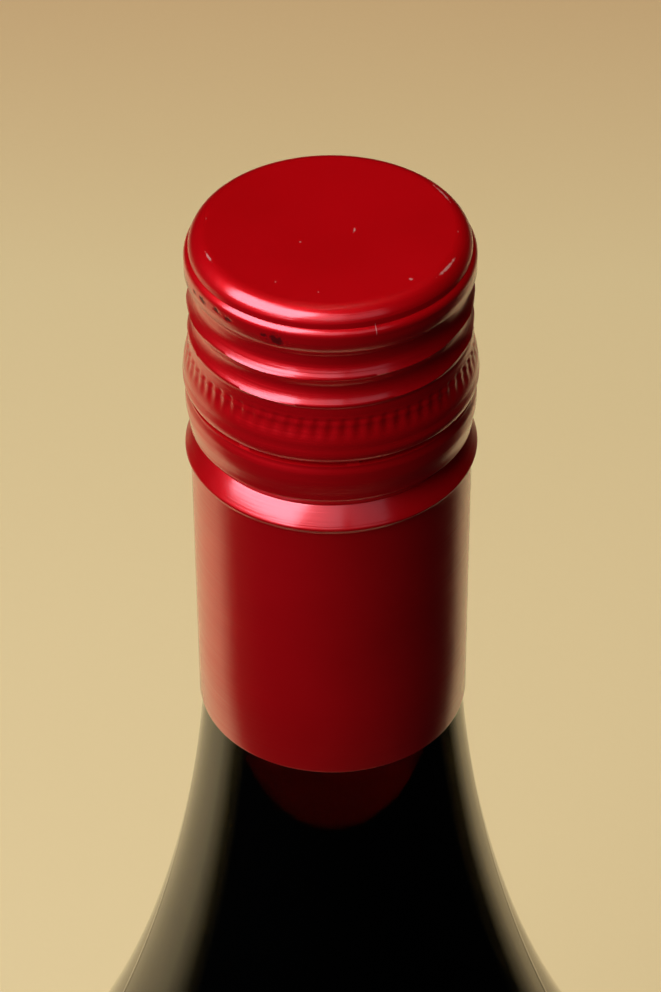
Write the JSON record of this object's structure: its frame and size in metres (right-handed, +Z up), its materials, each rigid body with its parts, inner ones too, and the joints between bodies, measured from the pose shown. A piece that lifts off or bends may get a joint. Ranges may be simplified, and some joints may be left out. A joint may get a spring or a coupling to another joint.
{
  "type": "wine bottle",
  "caption": "Full wine bottle of dark glass with sloping shoulders and a punt, closed by an unopened long red aluminium screw cap with rolled thread, grip flutes and tear line.",
  "frame": {"origin": "centre of the circle that the bottle stands on, at the base of its box", "axes": "+Z up along the bottle's axis; -Y is the side that faces the picture's camera"},
  "size_m": [0.0824, 0.0824, 0.296],
  "materials": {
    "bottle_glass": "very dark green-brown bottle glass, fire-polished gloss",
    "red_wine": "deep red wine, clear, near black in depth",
    "screw_cap": "deep red transparent lacquer on drawn aluminium, glossy with a soft metallic sheen"
  },
  "bodies": {
    "root": {"bottle_glass": "bottle_glass", "red_wine": "red_wine", "screw_cap": "screw_cap"}
  },
  "joints": []
}
